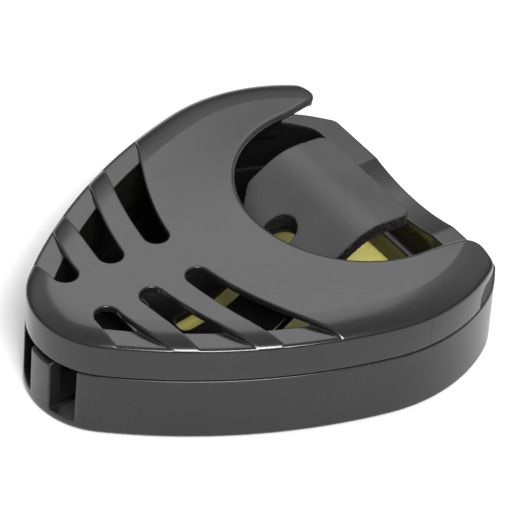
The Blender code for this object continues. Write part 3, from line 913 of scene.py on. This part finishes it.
def add_camera():
    """Camera at the viewing angle, held very slightly rolled."""
    azimuth = math.radians(CAMERA_AZIMUTH)
    elevation = math.radians(CAMERA_ELEVATION)
    roll = math.radians(CAMERA_ROLL)
    back = Vector((math.sin(azimuth) * math.cos(elevation),
                   -math.cos(azimuth) * math.cos(elevation), math.sin(elevation)))
    right = Vector((math.cos(azimuth), math.sin(azimuth), 0))
    up = back.cross(right)
    across = right * math.cos(roll) + up * math.sin(roll)
    along = up * math.cos(roll) - right * math.sin(roll)
    lens = bpy.data.cameras.new("camera")
    lens.sensor_width = 36
    lens.lens = CAMERA_LENS
    lens.clip_start = 0.01
    lens.clip_end = 20
    camera = bpy.data.objects.new("camera", lens)
    turn = Matrix((across, along, back)).transposed().to_4x4()
    camera.matrix_world = Matrix.Translation(CAMERA_TARGET + CAMERA_DISTANCE * back) @ turn
    bpy.context.scene.collection.objects.link(camera)
    bpy.context.scene.camera = camera


def softbox(name, place, aim, size, power):
    light = bpy.data.lights.new(name, "AREA")
    light.shape = "RECTANGLE"
    light.size, light.size_y = size
    light.energy = power
    lamp = bpy.data.objects.new(name, light)
    lamp.location = place
    lamp.rotation_euler = (Vector(place) - Vector(aim)).to_track_quat("Z", "Y").to_euler()
    bpy.context.scene.collection.objects.link(lamp)


# Brightness of the white tent by the height of a direction above the horizon, as its sine, and
# then by how far it faces the tent's bright side.
TENT_BY_HEIGHT = ((0.0, 0.20), (0.25, 0.22), (0.56, 1.0), (0.72, 1.0), (0.86, 0.85), (1.0, 0.80))
TENT_BRIGHT_SIDE = (-0.80, 0.60, 0.0)
# A smooth step: from and to how far it faces that side, from and to what brightness.
TENT_BY_SIDE = (-0.2, 0.75, 0.62, 1.10)

FLOOR_TILES = 24
FLOOR_HALF_SIZE = 1.5
FLOOR_DROP = 0.00002


def add_studio():
    world = bpy.data.worlds.new("tent")
    world.use_nodes = True
    tree = world.node_tree
    shader = tree.nodes["Background"]
    shader.inputs["Color"].default_value = (1, 1, 1, 1)
    direction = tree.nodes.new("ShaderNodeTexCoord").outputs["Generated"]
    split = tree.nodes.new("ShaderNodeSeparateXYZ")
    tree.links.new(direction, split.inputs["Vector"])
    height = tree.nodes.new("ShaderNodeValToRGB")
    while len(height.color_ramp.elements) < len(TENT_BY_HEIGHT):
        height.color_ramp.elements.new(0.5)
    for element, (position, value) in zip(height.color_ramp.elements, TENT_BY_HEIGHT):
        element.position = position
        element.color = (value, value, value, 1)
    tree.links.new(split.outputs["Z"], height.inputs["Fac"])
    facing = tree.nodes.new("ShaderNodeVectorMath")
    facing.operation = "DOT_PRODUCT"
    facing.inputs[1].default_value = TENT_BRIGHT_SIDE
    tree.links.new(direction, facing.inputs[0])
    side = tree.nodes.new("ShaderNodeMapRange")
    side.interpolation_type = "SMOOTHSTEP"
    for socket, value in zip(("From Min", "From Max", "To Min", "To Max"), TENT_BY_SIDE):
        side.inputs[socket].default_value = value
    tree.links.new(facing.outputs["Value"], side.inputs["Value"])
    strength = tree.nodes.new("ShaderNodeMath")
    strength.operation = "MULTIPLY"
    tree.links.new(height.outputs["Color"], strength.inputs[0])
    tree.links.new(side.outputs["Result"], strength.inputs[1])
    tree.links.new(strength.outputs["Value"], shader.inputs["Strength"])
    bpy.context.scene.world = world
    softbox("key", (0.503, -0.183, 0.594), (0, 0, 0), (0.30, 0.25), 7.2)
    # Close panel that the top of the cover mirrors; the horns catch its soft edge.
    softbox("panel", (-0.1082, 0.0664, 0.1702), (0.0111, -0.0280, 0.0403), (0.108, 0.113), 0.070)

    floor_mesh = bpy.data.meshes.new("floor")
    across = np.linspace(-FLOOR_HALF_SIZE, FLOOR_HALF_SIZE, FLOOR_TILES + 1)
    points = [(px, py, -FLOOR_DROP) for py in across for px in across]
    row = FLOOR_TILES + 1
    faces = [(r * row + c, r * row + c + 1, (r + 1) * row + c + 1, (r + 1) * row + c)
             for r in range(FLOOR_TILES) for c in range(FLOOR_TILES)]
    floor_mesh.from_pydata(points, [], faces)
    floor = bpy.data.objects.new("floor", floor_mesh)
    bpy.context.scene.collection.objects.link(floor)
    floor_mesh.materials.append(floor_paint("floor_paint"))
    bpy.context.scene.view_settings.view_transform = "Standard"


add_camera()
cover = cover_piece()
base = base_piece()
tongue = tongue_piece()
pad = pad_piece()
tape = tape_piece()
dress(base, "base",
      moulded_plastic("base_plastic_fine", (0.0085, 0.0085, 0.0088), 0.25, True), "base_shell")
dress(cover, "cover",
      moulded_plastic("cover_plastic_fine", (0.0100, 0.0100, 0.0103), 0.18, True), "top_cover")
dress(tongue, "tongue",
      moulded_plastic("tongue_plastic_fine", (0.0085, 0.0085, 0.0088), 0.20), "spring_tongue")
dress(pad, "tongue", rubber("pad_rubber_fine"), "grip_pad")
dress(tape, "base", foam("adhesive_foam_fine"), "adhesive_pad")

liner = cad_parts["release_liner"]
liner.data.materials.clear()
liner.data.materials.append(waxed_paper("liner_paper_fine"))

add_studio()
